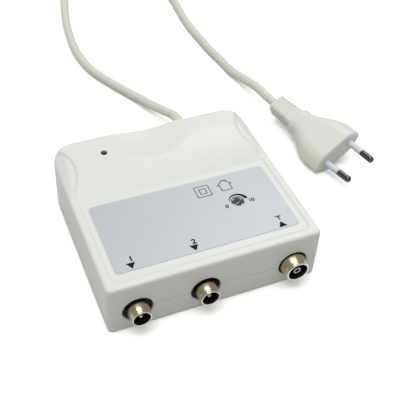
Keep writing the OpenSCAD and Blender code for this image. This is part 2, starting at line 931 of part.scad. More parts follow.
// Gland and boot in one moulding: an inner flange, a groove for the wall and a ribbed taper
module cord_gland() {
    ribs = 6;
    step = (boot_len - 4) / ribs;
    start_r = gland_flange_r - 0.4;
    wall_z = gland_flange_t + gland_gap + wall;
    taper = function(k) start_r + (boot_end_r - start_r) * k / ribs;
    rib = [for (k = [0 : ribs - 1], e = [0, 1, 2, 3])
        let (z = wall_z + fit_gap + 2 + k * step)
        [taper(k) - (e % 3 == 0 ? 0 : 0.7), z + step * [0.5, 0.6, 0.9, 1][e]]];
    color("whitesmoke")
        translate([gland_x, back_y - wall - gland_flange_t - gland_gap, parting_h])
            rotate([-90, 0, 0])
                rotate_extrude()
                    polygon(concat(
                        [[0, 0], [gland_flange_r, 0], [gland_flange_r, gland_flange_t],
                         [gland_r, gland_flange_t], [gland_r, wall_z + fit_gap],
                         [start_r, wall_z + fit_gap]],
                        rib,
                        [[boot_end_r, wall_z + boot_len - 1], [boot_end_r, wall_z + boot_len],
                         [0, wall_z + boot_len]]
                    ));
}

// Sweeping a round tube along points
function unit(v) = v / norm(v);
function along(route, i, start, end) =
    i == 0 ? start : i == len(route) - 1 ? end : unit(route[i + 1] - route[i - 1]);
function ring(p, t, r, sides) =
    let (s = unit(cross(t, [0, 0, 1])), u = cross(s, t))
    [for (k = [0 : sides - 1]) p + r * (cos(360 * (k + 0.5) / sides) * s + sin(360 * (k + 0.5) / sides) * u)];
function tube_faces(rings, n) = concat(
    [for (k = [1 : n - 2]) [0, k + 1, k]],
    [for (i = [0 : rings - 2], k = [0 : n - 1], e = [0, 1])
        let (a = i * n + k, b = i * n + (k + 1) % n)
        e == 0 ? [a, b, a + n] : [b, b + n, a + n]],
    [for (k = [1 : n - 2]) let (a = (rings - 1) * n) [a, a + k, a + k + 1]]
);

module tube(route, r, sides, start, end) {
    rings = [for (i = [0 : len(route) - 1]) each ring(route[i], along(route, i, start, end), r, sides)];
    polyhedron(rings, tube_faces(len(route), sides));
}

// Each stretch starts and ends straight for one diameter, square to what it meets
module cord_lead() {
    start = [gland_x, boot_y, parting_h];
    step = [0, cord_d, 0];
    route = concat([start, start + step], lead_route, [coil_path[0] - step, coil_path[0]]);
    color("gainsboro")
        tube(route, cord_d / 2, tube_sides, [0, 1, 0], [0, 1, 0]);
}

module cord_tail() {
    start = coil_path[len(coil_path) - 1];
    step = [0, cord_d, 0];
    route = concat([start, start - step], tail_route, [tail_end - cord_d * tail_axis, tail_end]);
    color("gainsboro")
        tube(route, cord_d / 2, tube_sides, [0, -1, 0], tail_axis);
}

// The coil spirals in on the lower layer, climbs at its inner turn and spirals out above
function ease(x) = let (c = max(0, min(1, x))) c * c * (3 - 2 * c);
function coil_radius(a) = coil_outer_r - coil_pitch * min(a, coil_sweep - a) / 360;
function tie_rise(a) = let (d = abs((a % 360) - 270)) tie_lift * ease(1 - d / tie_spread);
function coil_height(a) =
    cord_d / 2 + layer_step * ease((a - coil_sweep / 2 + 90) / 180) + tie_rise(a);
function coil_point(a) = [
    coil_at.x - coil_radius(a) * cos(a),
    coil_at.y + coil_radius(a) * sin(a),
    coil_height(a)
];
coil_loops = [for (k = [0 : coil_turns * coil_steps]) coil_point(k * 360 / coil_steps)];
coil_path = concat(
    [coil_loops[0] - [0, cord_d, 0]],
    coil_loops,
    [coil_loops[len(coil_loops) - 1] - [0, cord_d, 0]]
);

module cord_coil() {
    far = coil_steps / 2;
    spans = [for (i = [0 : len(coil_path) - 1], j = [i + far : 1 : len(coil_path) - 1])
        norm(coil_path[i] - coil_path[j])];
    echo(least_coil_gap = min(spans) - cord_d);
    color("gainsboro")
        tube(coil_path, cord_d / 2, coil_sides, [0, 1, 0], [0, -1, 0]);
}

// A flat band round all the turns, on the side of the coil towards the case
module coil_tie() {
    turns = floor(coil_turns / 2);
    outer = coil_radius(270) + cord_d / 2 + tie_gap;
    inner = coil_radius(270 + 360 * (turns - 1)) - cord_d / 2 - tie_gap;
    inside_h = layer_step + cord_d + 2 * tie_gap;
    color("dimgray")
        translate([coil_at.x - tie_w / 2, coil_at.y - outer - tie_t, 0])
            difference() {
                cube([tie_w, outer - inner + 2 * tie_t, inside_h + 2 * tie_t]);
                translate([-over, tie_t, tie_t])
                    cube([tie_w + 2 * over, outer - inner, inside_h]);
            }
}

// Puts a piece where the plug lies: pins along -y, width along x
module on_plug() {
    translate(plug_at)
        rotate([0, 0, plug_yaw])
            rotate([0, -plug_roll, 0])
                children();
}

// Cuts every corner of a section twice, so that it reads as rounded
function cut_corners(p, cut) = [
    for (i = [0 : len(p) - 1])
        let (a = p[i], b = p[(i + 1) % len(p)], l = norm(b - a), c = min(cut, l / 4) / l)
        each [a + c * (b - a), b - c * (b - a)]
];
// Eight corners of the plug's section: half width, half flat, half thickness, half edge
function plug_section(y, w, f, t, c, soft = plug_soft) =
    cut_corners(cut_corners([
        [w, y, c], [f, y, t], [-f, y, t], [-w, y, c], [-w, y, -c], [-f, y, -t], [f, y, -t], [w, y, -c]
    ], soft), soft / 3);
function body_section(y, inset = 0) =
    let (k = ease(pow(max(0, y - 7) / (plug_body_len - 8), plug_swell)),
         lip = lip_w * ease((y - plug_body_len + lip_len) / (lip_len - plug_edge)),
         w = (plug_w + (neck_w - plug_w) * k) / 2 - inset + lip,
         t = (plug_t + (neck_t - plug_t) * k) / 2 - inset)
    plug_section(y, w, plug_flat * w + lip / 2, t, plug_edge);
function relief_section(y, inset) =
    let (k = (y - plug_body_len) / relief_len, r = relief_r[0] + (relief_r[1] - relief_r[0]) * k - inset)
    plug_section(y, r, r - 1.2, r - 0.5, r - 1.7, plug_soft / 3);
function rib_sections(k) =
    let (y = relief_end - 1.2 - (rib_count - k) * rib_pitch)
    [for (e = [0 : 3]) relief_section(y + rib_pitch * [0.1, 0.22, 0.44, 0.56][e], e % 3 == 0 ? 0 : rib_depth)];

// The plug's moulding: a flared body, a lipped shoulder and a ribbed relief
module plug_body() {
    body_steps = 24;
    stations = concat(
        [body_section(0, plug_edge)],
        [for (k = [0 : body_steps]) body_section(plug_edge + (plug_body_len - plug_edge) * k / body_steps)],
        [relief_section(plug_body_len + 0.4, 0)],
        [for (k = [0 : rib_count - 1]) each rib_sections(k)],
        [relief_section(relief_end, 0)]
    );
    color("ivory")
        on_plug()
            difference() {
                polyhedron([for (s = stations) each s], tube_faces(len(stations), len(stations[0])));
                for (s = [-1, 1])
                    on_pin(s)
                        translate([0, 0, -pin_root - fit_gap])
                            cylinder(r = core_r + fit_gap, h = pin_root + over);
            }
}

// Puts a pin's axis at the plug's face, its z running out to the tip
module on_pin(s) {
    translate([s * plug_pitch / 2, -pin_start, 0])
        rotate([0, 0, -s * pin_lean])
            rotate([90, 0, 0])
                children();
}

module plug_pins() {
    tip_r = plug_pin_d / 2;
    color("dimgray")
        on_plug()
            for (s = [-1, 1])
                on_pin(s) {
                    translate([0, 0, -pin_root])
                        cylinder(r = core_r, h = pin_root + pin_sleeve_len + over);
                    translate([0, 0, pin_sleeve_len])
                        cylinder(r = tip_r, h = plug_pin_len - pin_sleeve_len - tip_r);
                    translate([0, 0, plug_pin_len - tip_r])
                        sphere(r = tip_r);
                }
}

module pin_sleeves() {
    color("aliceblue")
        on_plug()
            for (s = [-1, 1])
                on_pin(s)
                    difference() {
                        cylinder(d = plug_pin_d, h = pin_sleeve_len);
                        translate([0, 0, -over])
                            cylinder(r = core_r + fit_gap, h = pin_sleeve_len + 2 * over);
                    }
}

top_cover();
base_tray();
label_plate();
case_screws();
circuit_board();
board_screws();
shield_frame();
shield_lid();
outlet_shell(tv1_x);  // tv1_shell
outlet_insulator(tv1_x);  // tv1_insulator
outlet_pin(tv1_x);  // tv1_pin
outlet_shell(tv2_x);  // tv2_shell
outlet_insulator(tv2_x);  // tv2_insulator
outlet_pin(tv2_x);  // tv2_pin
ant_shell();
ant_insulator();
ant_contact();
trimmer_body();
gain_rotor();
splitter_core();
led_lamp();
led_spacer();
transformer_core();
transformer_winding();
supply_capacitors();
film_capacitor();
fuse_resistor();
control_chip();
supply_wires();
cord_gland();
cord_lead();
cord_coil();
coil_tie();
cord_tail();
plug_body();
plug_pins();
pin_sleeves();
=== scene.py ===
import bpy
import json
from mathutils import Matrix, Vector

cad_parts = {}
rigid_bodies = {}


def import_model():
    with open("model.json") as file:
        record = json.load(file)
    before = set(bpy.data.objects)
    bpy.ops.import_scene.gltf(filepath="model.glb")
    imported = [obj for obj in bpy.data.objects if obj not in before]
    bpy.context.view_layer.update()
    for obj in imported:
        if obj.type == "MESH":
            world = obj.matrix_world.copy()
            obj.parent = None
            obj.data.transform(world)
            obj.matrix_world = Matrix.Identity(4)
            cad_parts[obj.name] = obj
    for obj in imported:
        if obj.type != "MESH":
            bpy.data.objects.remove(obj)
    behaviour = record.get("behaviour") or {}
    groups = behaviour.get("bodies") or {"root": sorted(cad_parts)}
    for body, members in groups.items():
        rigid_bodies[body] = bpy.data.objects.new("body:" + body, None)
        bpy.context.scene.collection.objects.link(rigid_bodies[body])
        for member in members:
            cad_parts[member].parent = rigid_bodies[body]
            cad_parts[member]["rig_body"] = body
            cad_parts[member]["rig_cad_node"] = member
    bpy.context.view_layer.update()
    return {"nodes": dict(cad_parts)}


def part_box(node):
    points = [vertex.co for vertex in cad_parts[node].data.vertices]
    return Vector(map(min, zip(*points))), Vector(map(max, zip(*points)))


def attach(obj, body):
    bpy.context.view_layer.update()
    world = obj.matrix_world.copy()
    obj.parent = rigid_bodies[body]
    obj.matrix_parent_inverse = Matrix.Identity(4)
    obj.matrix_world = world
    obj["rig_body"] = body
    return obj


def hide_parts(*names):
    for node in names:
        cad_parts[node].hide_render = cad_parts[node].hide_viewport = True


bl_info = {
    "name": "Aerial amplifier",
    "version": (1, 0, 0),
    "blender": (4, 5, 0),
    "location": "View3D > Sidebar > Amplifier",
    "description": "Finishes the aerial amplifier: case, label, connectors, trimmer, lamp, lead and plug",
    "category": "Object",
}

import json
import math

import bpy
from bpy.props import FloatProperty, FloatVectorProperty, PointerProperty
from mathutils import Matrix, Vector

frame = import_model()
MM = 0.001
CASE = "amplifier"
SPINDLE = "gain_spindle"


# Sizes and colours

def colour(name, what, value):
    """A colour that a user may change."""
    return FloatVectorProperty(name=name, description=what, default=value,
                               subtype="COLOR", size=3, min=0, max=1)


def length(name, what, millimetres):
    """A length that a user may change, given in millimetres and kept in metres."""
    return FloatProperty(name=name, description=what, default=millimetres * MM, unit="LENGTH", precision=5)


def number(name, what, value):
    """A plain number that a user may change."""
    return FloatProperty(name=name, description=what, default=value)


class CaseLook(bpy.types.PropertyGroup):
    """Mouldings of the case."""

    white: colour("White", "Plastic of the cover and the base", (0.800, 0.803, 0.772))
    grain: length("Grain", "Spacing of the fine spark-eroded texture", 0.35)


class LabelLook(bpy.types.PropertyGroup):
    """Film label and its print."""

    film: colour("Film", "Silver-grey film of the label", (0.553, 0.586, 0.622))
    ink: colour("Ink", "Printing ink", (0.012, 0.012, 0.014))
    corner: length("Corner", "Rounding of the label's corners", 2.2)
    arrow_w: length("Arrow", "Width of the arrows beside the connectors", 4.4)
    line_w: length("Line", "Width of the printed lines", 0.40)
    digit_h: length("Digit", "Height of the printed digits", 3.0)


class MetalLook(bpy.types.PropertyGroup):
    """Plated metal."""

    # The nickel is the plating's colour darkened and tinted olive: a painted reflection of dark, brownish
    # surroundings.
    nickel: colour("Nickel", "Plating of the connectors", (0.50, 0.465, 0.30))
    # A lighter, glossier copy of the nickel, laid on the lips as a painted highlight.
    bright: colour("Lip highlight nickel", "Polished lips of the connectors", (0.80, 0.79, 0.75))
    # A duller nickel, darkened as a painted reflection of the dark bore round the pins and contacts.
    dull: colour("Dull nickel", "Pins and contacts of the connectors", (0.52, 0.51, 0.48))
    # The pins' nickel is painted nearly black: a painted reflection of a dark room, with bright edges left to
    # the coat.
    dark_nickel: colour("Dark nickel", "Bare ends of the plug's pins", (0.090, 0.087, 0.078))
    zinc: colour("Zinc", "Plating of the screws", (0.60, 0.61, 0.60))


class LeadLook(bpy.types.PropertyGroup):
    """Mains lead and plug."""

    vinyl: colour("Vinyl", "Sheath of the lead and its boot", (0.735, 0.74, 0.655))
    plug: colour("Plug", "Vinyl of the plug", (0.785, 0.79, 0.735))
    diameter: length("Diameter", "Diameter of the lead", 5.6)
    turns: number("Turns", "Turns in the stored coil", 4.5)
    coil_d: length("Coil", "Diameter at the middle of the coil's turns", 62)


class StageLook(bpy.types.PropertyGroup):
    """Floor, lamps and camera."""

    eye: FloatVectorProperty(name="Eye", description="Place of the camera", subtype="TRANSLATION", size=3,
                             default=(-0.10406, -0.24720, 0.28659))
    azimuth: number("Azimuth", "Turn of the view about the vertical, in degrees", -24.97)
    elevation: number("Elevation", "Height of the view above the horizon, in degrees", 44.39)
    roll: number("Roll", "Turn of the picture, in degrees", -3.58)
    focal: number("Focal length", "Focal length on a 36 mm sensor, in millimetres", 66.35)
    floor: colour("Floor", "Colour of the floor", (0.52, 0.52, 0.49))
    glare: number("Glare", "Brightness at which the floor is seen", 1.6)


# Shader values

class Value:
    """One value in a node tree. Sums written on it become Math nodes."""

    def __init__(self, graph, socket):
        self.graph = graph
        self.socket = socket

    def sum(self, operation, *others):
        return self.graph.node("ShaderNodeMath", {"operation": operation}, *others)

    def __add__(self, other):
        return self.sum("ADD", self, other)

    def __sub__(self, other):
        return self.sum("SUBTRACT", self, other)

    def __rsub__(self, other):
        return self.sum("SUBTRACT", other, self)

    def __mul__(self, other):
        return self.sum("MULTIPLY", self, other)

    __radd__ = __add__
    __rmul__ = __mul__

    def size(self):
        return self.sum("ABSOLUTE", self)

    def lower(self, other):
        return self.sum("MINIMUM", self, other)

    def higher(self, other):
        return self.sum("MAXIMUM", self, other)

    def ease(self, low, high, to_low, to_high):
        """Runs smoothly from to_low at low to to_high at high."""
        settings = {"interpolation_type": "SMOOTHSTEP", "clamp": True}
        return self.graph.node("ShaderNodeMapRange", settings, self, low, high, to_low, to_high)


class Graph:
    """A node tree, built by calls."""

    def __init__(self, tree):
        self.tree = tree

    def node(self, kind, settings, *inputs, out=0, **named):
        """Adds a node: its settings first, then its inputs in order or by name; gives one output."""
        made = self.tree.nodes.new(kind)
        for key, value in settings.items():
            setattr(made, key, value)
        for key, value in [*enumerate(inputs), *((k.replace("_", " "), v) for k, v in named.items())]:
            self.feed(made.inputs[key], value)
        return Value(self, made.outputs[out])

    def outputs(self, kind, *inputs):
        """All the outputs of a new node, by name."""
        made = self.node(kind, {}, *inputs).socket.node
        return {output.name: Value(self, output) for output in made.outputs}

    def feed(self, socket, value):
        """Links a value to a socket, or sets the socket to a plain number or colour."""
        if isinstance(value, Value):
            self.tree.links.new(value.socket, socket)
        elif value is not None:
            socket.default_value = value


class Finish(Graph):
    """A material and its node tree."""

    def __init__(self, name):
        self.material = bpy.data.materials.new(name)
        self.material.use_nodes = True
        super().__init__(self.material.node_tree)
        self.shader = self.tree.nodes["Principled BSDF"]
        self.place = self.node("ShaderNodeTexCoord", {}, out="Object")

    def set(self, **values):
        """Sets the shader's own sockets by name."""
        for key, value in values.items():
            self.feed(self.shader.inputs[key.replace("_", " ")], value)
        return self

    def noise(self, spacing, detail, roughness=0.5, stretch=(1, 1, 1)):
        """Noise with features of that spacing, in metres, from 0 to 1."""
        place = self.place
        if stretch != (1, 1, 1):
            place = self.node("ShaderNodeMapping", {}, place, Scale=stretch)
        return self.node("ShaderNodeTexNoise", {}, place,
                         Scale=1 / spacing, Detail=detail, Roughness=roughness)

    def mix(self, share, first, second):
        """A colour that runs from first to second."""
        not_colours = [None] * 5
        return self.node("ShaderNodeMix", {"data_type": "RGBA"},
                         share, *not_colours, (*first, 1), (*second, 1), out=2)

    def bump(self, height, depth, strength=1.0):
        """Raises the surface by height times depth, in metres."""
        raised = self.node("ShaderNodeBump", {}, out="Normal",
                           Strength=strength, Distance=depth, Height=height)
        return self.set(Normal=raised)


def shade(base, by):
    """A colour made lighter or darker."""
    return tuple(min(1.0, c * by) for c in base)


# Spacing of the mottling in plastic, and of the uneven polish and the turning marks in metal
MOTTLE = 14 * MM
POLISH = 1.6 * MM
TURNING = 0.25 * MM
TURNING_DEPTH = 0.004 * MM


def moulded(name, base, rough, grain, depth, mottle=0.025, **more):
    """Moulded plastic or vinyl: fine grain, faint mottling and uneven gloss."""
    made = Finish(name)
    cloud = made.noise(MOTTLE, detail=3)
    fine = made.noise(grain, detail=2)
    made.set(Base_Color=made.mix(cloud, shade(base, 1 - mottle), shade(base, 1 + mottle)),
             Roughness=(fine - 0.5) * 0.10 + (cloud - 0.5) * 0.08 + rough, **more)
    return made.bump(fine, depth).material


def plated(name, base, rough, spread, **more):
    """Plated metal with faint turning marks and uneven polish."""
    made = Finish(name)
    cloud = made.noise(POLISH, detail=3)
    lines = made.noise(TURNING, detail=2, roughness=0.6, stretch=(0.15, 1, 0.15))
    made.set(Base_Color=made.mix(cloud, shade(base, 1 - spread), shade(base, 1 + spread)),
             Metallic=1.0, Roughness=(cloud - 0.5) * 0.12 + (lines - 0.5) * 0.10 + rough, **more)
    return made.bump(lines, TURNING_DEPTH, strength=0.5).material


# Modelling helpers

def middle_of(node):
    """The middle of a solid's box."""
    low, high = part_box(node)
    return (low + high) / 2


def select_only(piece):
    """Leaves edit mode and selects one piece alone."""
    if bpy.context.object and bpy.context.object.mode != "OBJECT":
        bpy.ops.object.mode_set(mode="OBJECT")
    bpy.ops.object.select_all(action="DESELECT")
    piece.select_set(True)
    bpy.context.view_layer.objects.active = piece


def edit(piece):
    """Opens a piece in edit mode with all of it selected."""
    select_only(piece)
    bpy.ops.object.mode_set(mode="EDIT")
    bpy.ops.mesh.select_all(action="SELECT")


def done():
    """Closes edit mode."""
    bpy.ops.object.mode_set(mode="OBJECT")


def modify(piece, kind, **settings):
    """Adds a modifier and applies it."""
    select_only(piece)
    made = piece.modifiers.new(kind.title(), kind)
    for key, value in settings.items():
        setattr(made, key, value)
    bpy.ops.object.modifier_apply(modifier=made.name)


def finish_piece(piece, name, body, slot, material, *nodes):
    """Names a piece, gives it its finish, and sets it on its body in place of its solids."""
    piece.name = name
    piece.data.name = name
    piece.data.materials.clear()
    piece.data.materials.append(material)
    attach(piece, body)
    if nodes:
        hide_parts(*nodes)


def copy_of(node):
    """A copy of a solid's mesh with its triangles joined up and its flat faces made whole."""
    select_only(frame["nodes"][node])
    bpy.ops.object.duplicate()
    piece = bpy.context.object
    piece.parent = None
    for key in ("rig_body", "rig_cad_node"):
        del piece[key]
    edit(piece)
    bpy.ops.mesh.remove_doubles(threshold=0.002 * MM)
    bpy.ops.mesh.dissolve_limited(angle_limit=math.radians(0.3))
    done()
    return piece


def smooth(piece, degrees=32):
    """Smooth shading that keeps flat faces flat and sharp edges sharp."""
    select_only(piece)
    bpy.ops.object.shade_smooth_by_angle(angle=math.radians(degrees))
    modify(piece, "WEIGHTED_NORMAL", keep_sharp=True, weight=80)


def eased_copy(node, width, degrees=34, segments=2):
    """A copy of a solid with its sharp edges eased."""
    piece = copy_of(node)
    modify(piece, "BEVEL", width=width, segments=segments, limit_method="ANGLE",
           angle_limit=math.radians(degrees), miter_outer="MITER_ARC", use_clamp_overlap=True)
    smooth(piece)
    return piece


def soft_copy(node, grid, rounds, keep):
    """A copy of a moulding with every edge softened: meshed evenly, smoothed, then thinned."""
    piece = copy_of(node)
    modify(piece, "REMESH", mode="VOXEL", voxel_size=grid)
    modify(piece, "SMOOTH", factor=0.5, iterations=rounds)
    modify(piece, "DECIMATE", ratio=keep)
    smooth(piece, degrees=60)
    return piece


def turned(profile, centre, axis, steps=96):
    """A turned piece: points (radius, distance along the axis) spun round the axis."""
    along = Vector(axis).normalized()
    out = along.orthogonal().normalized()
    line = [Vector(centre) + out * r * MM + along * z * MM for r, z in profile]
    bpy.ops.object.select_all(action="DESELECT")
    bpy.ops.mesh.primitive_plane_add(size=0.01, location=(0, 0, 0))
    piece = bpy.context.object
    edit(piece)
    bpy.ops.mesh.merge(type="CENTER")
    bpy.ops.transform.translate(value=line[0])
    for a, b in zip(line, line[1:]):
        bpy.ops.mesh.extrude_region_move(TRANSFORM_OT_translate={"value": b - a})
    bpy.ops.mesh.select_all(action="SELECT")
    bpy.ops.mesh.spin(steps=steps, angle=2 * math.pi, center=centre, axis=along)
    bpy.ops.mesh.select_all(action="SELECT")
    bpy.ops.mesh.remove_doubles(threshold=0.001 * MM)
    bpy.ops.mesh.normals_make_consistent(inside=False)
    done()
    return piece


# Pieces

class AMPLIFIER_OT_case(bpy.types.Operator):
    """Finish the cover and the base of the case"""

    bl_idname = "amplifier.case"
    bl_label = "Case"

    def execute(self, context):
        look = context.scene.amplifier_case
        white = moulded("white_case", tuple(look.white), rough=0.37, grain=look.grain, depth=0.010 * MM,
                        mottle=0.012, Specular_IOR_Level=0.45)
        for node, name in (("top_cover", "cover"), ("base_tray", "base")):
            piece = soft_copy(node, grid=0.4 * MM, rounds=9, keep=0.32)
            finish_piece(piece, name, CASE, "white_case", white, node)
        return {"FINISHED"}


class AMPLIFIER_OT_screws(bpy.types.Operator):
    """Finish the screws under the case and on the board"""

    bl_idname = "amplifier.screws"
    bl_label = "Screws"

    def execute(self, context):
        look = context.scene.amplifier_metal
        zinc = plated("zinc_screw", tuple(look.zinc), rough=0.34, spread=0.05)
        for node in ("case_screws", "board_screws"):
            piece = eased_copy(node, width=0.18 * MM)
            finish_piece(piece, node + "_plated", CASE, "zinc_screw", zinc, node)
        return {"FINISHED"}


# Printed shapes, one unit wide about their own middle
ARROW = ((-0.5, -0.42), (0.5, -0.42), (0.0, 0.42))
SQUARE = ((-0.5, -0.5), (0.5, -0.5), (0.5, 0.5), (-0.5, 0.5))
HOUSE = ((-0.33, -0.42), (0.33, -0.42), (0.33, 0.06), (0.5, 0.06), (0.22, 0.30), (0.22, 0.44), (0.10, 0.44),
         (0.10, 0.40), (0.0, 0.49), (-0.5, 0.06), (-0.33, 0.06))
AERIAL = ((-0.07, -0.5), (0.07, -0.5), (0.07, 0.02), (0.5, 0.40), (0.41, 0.5), (0.07, 0.2), (0.07, 0.5),
          (-0.07, 0.5), (-0.07, 0.2), (-0.41, 0.5), (-0.5, 0.40), (-0.07, 0.02))

# Places and widths of the printed marks, in millimetres from the frame's origin
OUTLET_ARROWS = ((-38.7, -37.7), (-7.4, -37.5))
INLET_ARROW = (38.3, -37.5)
AERIAL_AT = (38.6, -33.3)
AERIAL_W = 3.6
SQUARES_AT = (10.7, -3.6)
SQUARE_WIDTHS = (7.8, 3.8)
HOUSE_AT = (23.0, -3.2)
HOUSE_W = 8.8

# Printed numbers: their place in millimetres, and their height as a share of the digits' height
NUMBERS = (("1", -37.7, -33.7, 1.0), ("2", -6.5, -33.7, 1.0),
           ("0", 17.9, -17.7, 0.75), ("10", 31.4, -17.4, 0.75))

# Height of a digit as a share of its font size, and how far its strokes are thickened
DIGIT_SHARE = 0.73
DIGIT_BOLD = 0.055

# Hole in the label round the spindle, and the printed wedge round it, in millimetres and degrees
LABEL_HOLE_R = 3.4
WEDGE_AT = (24.5, -15.8)
WEDGE_R = 4.05
WEDGE_THIN = 0.3
WEDGE_GROWTH = 1.5
WEDGE_START = 165
WEDGE_SWEEP = 160

# Thickness of the ink, and easing of the film's edge, in millimetres
INK_T = 0.012
FILM_EASE = 0.06


class AMPLIFIER_OT_label(bpy.types.Operator):
    """Finish the label film and print it"""

    bl_idname = "amplifier.label"
    bl_label = "Label"

    def execute(self, context):
        look = context.scene.amplifier_label
        film = Finish("label_film")
        cloud = film.noise(spacing=20 * MM, detail=3)
        brushed = film.noise(spacing=0.12 * MM, detail=2, stretch=(0.05, 1, 1))
        base = tuple(look.film)
        film.set(Base_Color=film.mix(cloud, shade(base, 0.975), shade(base, 1.025)),
                 Roughness=(brushed - 0.5) * 0.14 + 0.40, Metallic=0.12, Specular_IOR_Level=0.5)
        film.bump(brushed, depth=0.003 * MM, strength=0.6)
        finish_piece(self.plate(look.corner), "label", CASE, "label_film", film.material, "label_plate")
        ink = moulded("ink", tuple(look.ink), rough=0.5, grain=0.15 * MM, depth=0.002 * MM, mottle=0.2,
                      Specular_IOR_Level=0.08)
        self.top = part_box("label_plate")[1].z
        marks = self.marks(look)
        select_only(marks[0])
        for mark in marks:
            mark.select_set(True)
        bpy.ops.object.join()
        printed = bpy.context.object
        modify(printed, "SOLIDIFY", thickness=INK_T * MM, offset=1.0)
        finish_piece(printed, "label_print", CASE, "label_film", ink)
        return {"FINISHED"}

    def marks(self, look):
        """Everything that is printed: arrows, aerial, numbers, two signs and the wedge."""
        marks = [self.outline(ARROW, *place, look.arrow_w, turn=True) for place in OUTLET_ARROWS]
        marks.append(self.outline(ARROW, *INLET_ARROW, look.arrow_w))
        marks.append(self.outline(AERIAL, *AERIAL_AT, AERIAL_W * MM))
        for words, x, y, share in NUMBERS:
            marks.append(self.digit(words, x, y, share * look.digit_h))
        for width in SQUARE_WIDTHS:
            marks.append(self.outline(SQUARE, *SQUARES_AT, width * MM, look.line_w))
        marks.append(self.outline(HOUSE, *HOUSE_AT, HOUSE_W * MM, look.line_w))
        marks.append(self.wedge(*WEDGE_AT))
        return marks

    def plate(self, corner):
        """The film itself: a plate with round corners and a hole for the spindle."""
        low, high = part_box("label_plate")
        middle = (low + high) / 2
        bpy.ops.object.select_all(action="DESELECT")
        bpy.ops.mesh.primitive_plane_add(size=1, location=(0, 0, 0))
        plate = bpy.context.object
        edit(plate)
        bpy.ops.transform.resize(value=(high.x - low.x, high.y - low.y, 1))
        bpy.ops.transform.translate(value=(middle.x, middle.y, low.z))
        bpy.ops.mesh.bevel(offset=corner, segments=8, affect="VERTICES", clamp_overlap=False)
        bpy.ops.mesh.select_all(action="SELECT")
        bpy.ops.mesh.extrude_region_move(TRANSFORM_OT_translate={"value": (0, 0, high.z - low.z)})
        bpy.ops.mesh.select_all(action="SELECT")
        bpy.ops.mesh.normals_make_consistent(inside=False)
        done()
        spindle = middle_of("gain_rotor")
        bpy.ops.object.select_all(action="DESELECT")
        bpy.ops.mesh.primitive_cylinder_add(vertices=64, radius=LABEL_HOLE_R * MM, depth=10 * MM,
                                            location=(spindle.x, spindle.y, middle.z))
        cutter = bpy.context.object
        modify(plate, "BOOLEAN", object=cutter, operation="DIFFERENCE", solver="EXACT")
        bpy.data.objects.remove(cutter)
        modify(plate, "BEVEL", width=FILM_EASE * MM, segments=2, limit_method="ANGLE",
               angle_limit=math.radians(60))
        smooth(plate)
        return plate

    def outline(self, shape, x, y, size, line=None, turn=False):
        """A printed shape of that width, filled, or drawn as a line of that width."""
        bpy.ops.object.select_all(action="DESELECT")
        bpy.ops.mesh.primitive_circle_add(vertices=len(shape), fill_type="NGON", radius=size)
        mark = bpy.context.object
        for corner, (u, v) in zip(mark.data.vertices, shape):
            spun = Vector((-u, -v) if turn else (u, v)) * size
            corner.co = (x * MM + spun.x, y * MM + spun.y, self.top)
        edit(mark)
        bpy.ops.mesh.normals_make_consistent(inside=False)
        if line:
            bpy.ops.mesh.inset(thickness=line)
            bpy.ops.mesh.delete(type="FACE")
        done()
        return self.face_up(mark)

    def digit(self, words, x, y, high):
        """A printed number, centred on its place."""
        bpy.ops.object.select_all(action="DESELECT")
        bpy.ops.object.text_add(location=(x * MM, y * MM, self.top))
        mark = bpy.context.object
        mark.data.body = words
        mark.data.size = high / DIGIT_SHARE
        mark.data.offset = DIGIT_BOLD * high
        mark.data.align_x = "CENTER"
        mark.data.align_y = "CENTER"
        bpy.ops.object.convert(target="MESH")
        bpy.ops.object.transform_apply(location=True, rotation=True, scale=True)
        return self.face_up(bpy.context.object)

    def wedge(self, x, y):
        """The wedge round the gain spindle: thin at its low end and thick at its high end."""
        bpy.ops.object.select_all(action="DESELECT")
        bpy.ops.mesh.primitive_grid_add(x_subdivisions=32, y_subdivisions=1, size=2, location=(0, 0, 0))
        mark = bpy.context.object
        for corner in mark.data.vertices:
            share = (corner.co.x + 1) / 2
            angle = math.radians(WEDGE_START - WEDGE_SWEEP * share)
            thick = WEDGE_THIN + WEDGE_GROWTH * share if corner.co.y > 0 else 0
            r = WEDGE_R + thick
            corner.co = ((x + r * math.cos(angle)) * MM, (y + r * math.sin(angle)) * MM, self.top)
        return self.face_up(mark)

    def face_up(self, mark):
        """Joins a mark's doubled points and turns it to face upwards."""
        edit(mark)
        bpy.ops.mesh.remove_doubles(threshold=0.001 * MM)
        done()
        if mark.data.polygons[0].normal.z < 0:
            edit(mark)
            bpy.ops.mesh.flip_normals()
            done()
        return mark


# Connectors: the solids' prefix and the piece in the middle, then the radii of the lip, of the rim
# inside it, of the bore and of the root in the wall, in millimetres
CONNECTORS = (
    ("tv1", "pin", 4.75, 4.2, 4.1, 5.45),
    ("tv2", "pin", 4.75, 4.2, 4.1, 5.45),
    ("ant", "contact", 6.0, 5.1, 4.8, 6.75),
)

# Sizes that the three sleeves share, in millimetres
SPIGOT_R = 3.0
FLANGE_R = 6.6
FLANGE_T = 1.2
BORE_DEPTH = 9.0
NECK_DEPTH = 0.5
BEAD_R = 0.35
# Depth from the front of a sleeve over which its lip gets the painted highlight, in millimetres
LIP_HIGHLIGHT_DEPTH = 1.2


